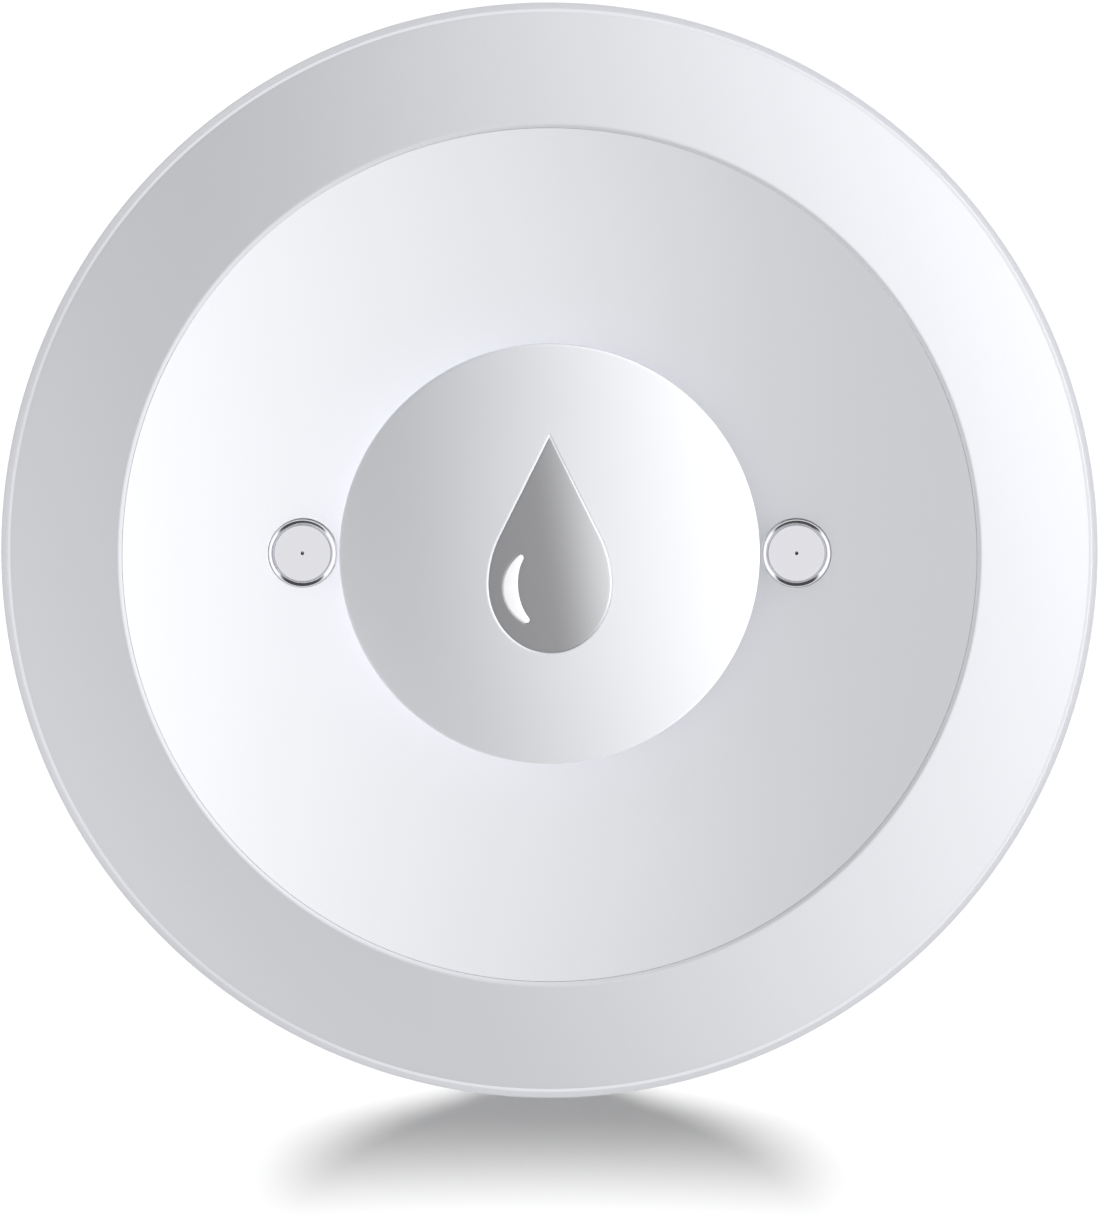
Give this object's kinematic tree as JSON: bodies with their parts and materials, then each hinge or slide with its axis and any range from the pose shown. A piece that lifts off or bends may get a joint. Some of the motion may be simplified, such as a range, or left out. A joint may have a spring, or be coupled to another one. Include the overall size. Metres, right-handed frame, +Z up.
{
  "type": "water leak sensor",
  "caption": "Round floor puck that senses water: sloped ring, dished drip tray with metal probes, domed press button with a drop-shaped light window, floor probes and a twist-off battery door.",
  "frame": {"origin": "on the floor under the middle of the puck", "axes": "+Z up along the puck's axis, +Y towards the tip of the drop symbol, +X towards the right-hand drip probe"},
  "size_m": [0.065, 0.065, 0.0204],
  "materials": {
    "white_shell": "fine moulded texture",
    "white_dish": "smooth satin",
    "white_button": "smooth satin",
    "grey_lens": "smooth satin, lets light through",
    "probe_nickel": "turned and nickel plated",
    "seal_rubber": "matte",
    "clear_silicone": "milky, soft",
    "foot_rubber": "matte",
    "clamp_plastic": "natural nylon",
    "board_laminate": "solder mask over glass laminate",
    "chip_plastic": "moulded epoxy",
    "ceramic_white": "glazed ceramic",
    "tin_shield": "tinned sheet",
    "brass_insert": "turned",
    "contact_gold": "gold flash over spring bronze",
    "screw_steel": "zinc plated",
    "cell_steel": "nickel-plated steel can"
  },
  "bodies": {
    "housing": {"base_shell": "white_shell", "upper_ring": "white_shell", "drip_dish": "white_dish", "rim_seal": "seal_rubber", "dish_seal": "seal_rubber", "button_membrane": "clear_silicone", "membrane_clamp": "clamp_plastic", "drip_probe_left": "probe_nickel", "drip_probe_right": "probe_nickel", "drip_probe_seals": "seal_rubber", "probe_standoffs": "brass_insert", "circuit_board": "board_laminate", "board_screws": "screw_steel", "radio_module": "tin_shield", "chip_antenna": "ceramic_white", "tact_switch": "chip_plastic", "status_led": "ceramic_white", "battery_contact_negative": "contact_gold", "battery_contact_positive": "contact_gold", "coin_cell": "cell_steel", "case_screws": "screw_steel", "rubber_feet": "foot_rubber", "floor_probe_front": "probe_nickel", "floor_probe_back": "probe_nickel", "floor_probe_seals": "seal_rubber", "floor_probe_nuts": "brass_insert", "floor_probe_springs": "contact_gold"},
    "button": {"button_cap": "white_button", "drop_lens": "grey_lens"},
    "plunger": {"switch_plunger": "chip_plastic"},
    "door": {"battery_door": "white_shell", "battery_door_seal": "seal_rubber"}
  },
  "joints": [
    {"name": "button_press", "type": "slide", "parent": "housing", "child": "button", "axis": [0, 0, -1], "range_m": [0, 0.0004], "stiffness_N_per_m": 4000, "deforming": ["button_membrane"]},
    {"name": "switch_press", "type": "slide", "parent": "housing", "child": "plunger", "axis": [0, 0, -1], "range_m": [0, 0.0004]},
    {"name": "battery_door_twist", "type": "hinge", "parent": "housing", "child": "door", "pos_m": [0, 0, 0.001], "axis": [0, 0, -1], "range_deg": [0, 30]}
  ],
  "couplings": [
    {"joint": "switch_press", "follows": "button_press", "ratio": 1}
  ]
}
